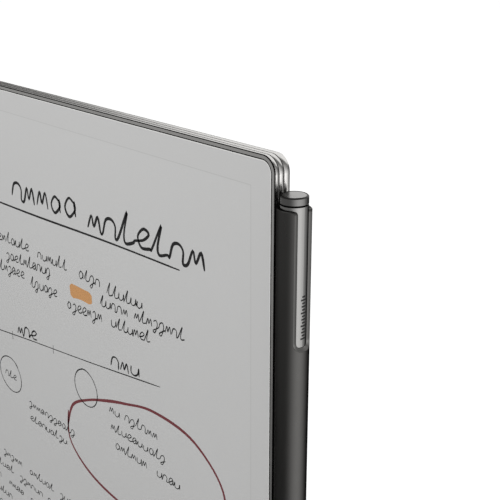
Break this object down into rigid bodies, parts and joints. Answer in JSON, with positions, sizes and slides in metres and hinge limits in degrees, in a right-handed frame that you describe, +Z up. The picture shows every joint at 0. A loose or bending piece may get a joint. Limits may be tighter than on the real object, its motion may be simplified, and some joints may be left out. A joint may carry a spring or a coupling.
{
  "type": "personal digital assistant",
  "caption": "Slim e-paper writing tablet with ridged metal edges and a pencil-like stylus docked on its right edge.",
  "frame": {"origin": "centre of the rear cover's outer flat face", "axes": "+X to the right across the screen, +Y from the screen to the back, +Z up along the long side"},
  "size_m": [0.2049, 0.0085, 0.2744],
  "materials": {
    "frame_aluminium": "satin anodised, finely ridged",
    "etched_glass": "matt, finely etched for pen friction",
    "cover_plastic": "fine-textured",
    "foot_rubber": "matt",
    "adhesive": "soft tape",
    "light_guide": "clear",
    "display": "paper-like",
    "flex": "amber film",
    "sensor_sheet": "laminate",
    "magnesium": "cast",
    "screw_steel": "plain",
    "contact_gold": "gold-plated",
    "board": "solder mask",
    "cell": "foil pouch",
    "chip": "moulded",
    "shield": "tinned",
    "copper": "wound copper",
    "ferrite": "sintered",
    "magnet": "nickel-plated",
    "port_steel": "drawn",
    "black_plastic": "moulded",
    "button_aluminium": "satin",
    "stylus_shell": "satin",
    "stylus_tube": "satin anodised",
    "stylus_cap": "satin",
    "eraser_disc": "fine-textured",
    "stylus_tip": "felt-like",
    "pad_rubber": "silicone"
  },
  "bodies": {
    "tablet": {"side_frame": "frame_aluminium", "front_glass": "etched_glass", "glass_adhesive": "adhesive", "front_light_guide": "light_guide", "front_light_strip": "flex", "display_panel": "display", "display_flex": "flex", "pen_digitizer": "sensor_sheet", "mid_plate": "magnesium", "mid_plate_screws": "screw_steel", "rear_cover": "cover_plastic", "rubber_feet": "foot_rubber", "accessory_contacts": "contact_gold", "contact_board": "board", "battery_left": "cell", "battery_right": "cell", "battery_flex": "flex", "main_board": "board", "processor": "chip", "processor_shield": "shield", "memory_chip": "chip", "storage_chip": "chip", "wireless_module": "shield", "antenna_left": "copper", "antenna_right": "copper", "usb_c_shell": "port_steel", "usb_c_tongue": "black_plastic", "usb_board": "board", "usb_flex": "flex", "power_switch": "black_plastic", "dock_magnets": "magnet", "folio_magnets": "magnet", "dock_charge_core": "ferrite", "dock_charge_coil": "copper"},
    "button": {"power_button": "button_aluminium"},
    "stylus": {"stylus_shell": "stylus_shell", "stylus_tube": "stylus_tube", "nose_cone": "stylus_shell", "tip_pad": "pad_rubber", "tip_sensor": "black_plastic", "eraser_guide": "black_plastic", "eraser_pad": "pad_rubber", "eraser_sensor": "black_plastic", "stylus_magnets": "magnet", "stylus_charge_core": "ferrite", "stylus_charge_coil": "copper", "stylus_battery": "cell", "stylus_board": "board", "tip_board": "board"},
    "tip": {"stylus_tip": "stylus_tip", "tip_socket": "black_plastic"},
    "eraser": {"eraser_cap": "stylus_cap", "eraser_disc": "eraser_disc", "eraser_stem": "black_plastic"}
  },
  "joints": [
    {"name": "stylus_pull", "type": "slide", "parent": "tablet", "child": "stylus", "axis": [1, 0, 0], "range_m": [0, 0.03]},
    {"name": "tip_press", "type": "slide", "parent": "stylus", "child": "tip", "axis": [0, 0, 1], "range_m": [0, 0.0003], "stiffness_N_per_m": 2000, "deforming": ["tip_pad"]},
    {"name": "eraser_press", "type": "slide", "parent": "stylus", "child": "eraser", "axis": [0, 0, -1], "range_m": [0, 0.0003], "stiffness_N_per_m": 2000, "deforming": ["eraser_pad"]},
    {"name": "power_press", "type": "slide", "parent": "tablet", "child": "button", "axis": [0, 0, -1], "range_m": [0, 0.0003], "stiffness_N_per_m": 2000}
  ]
}
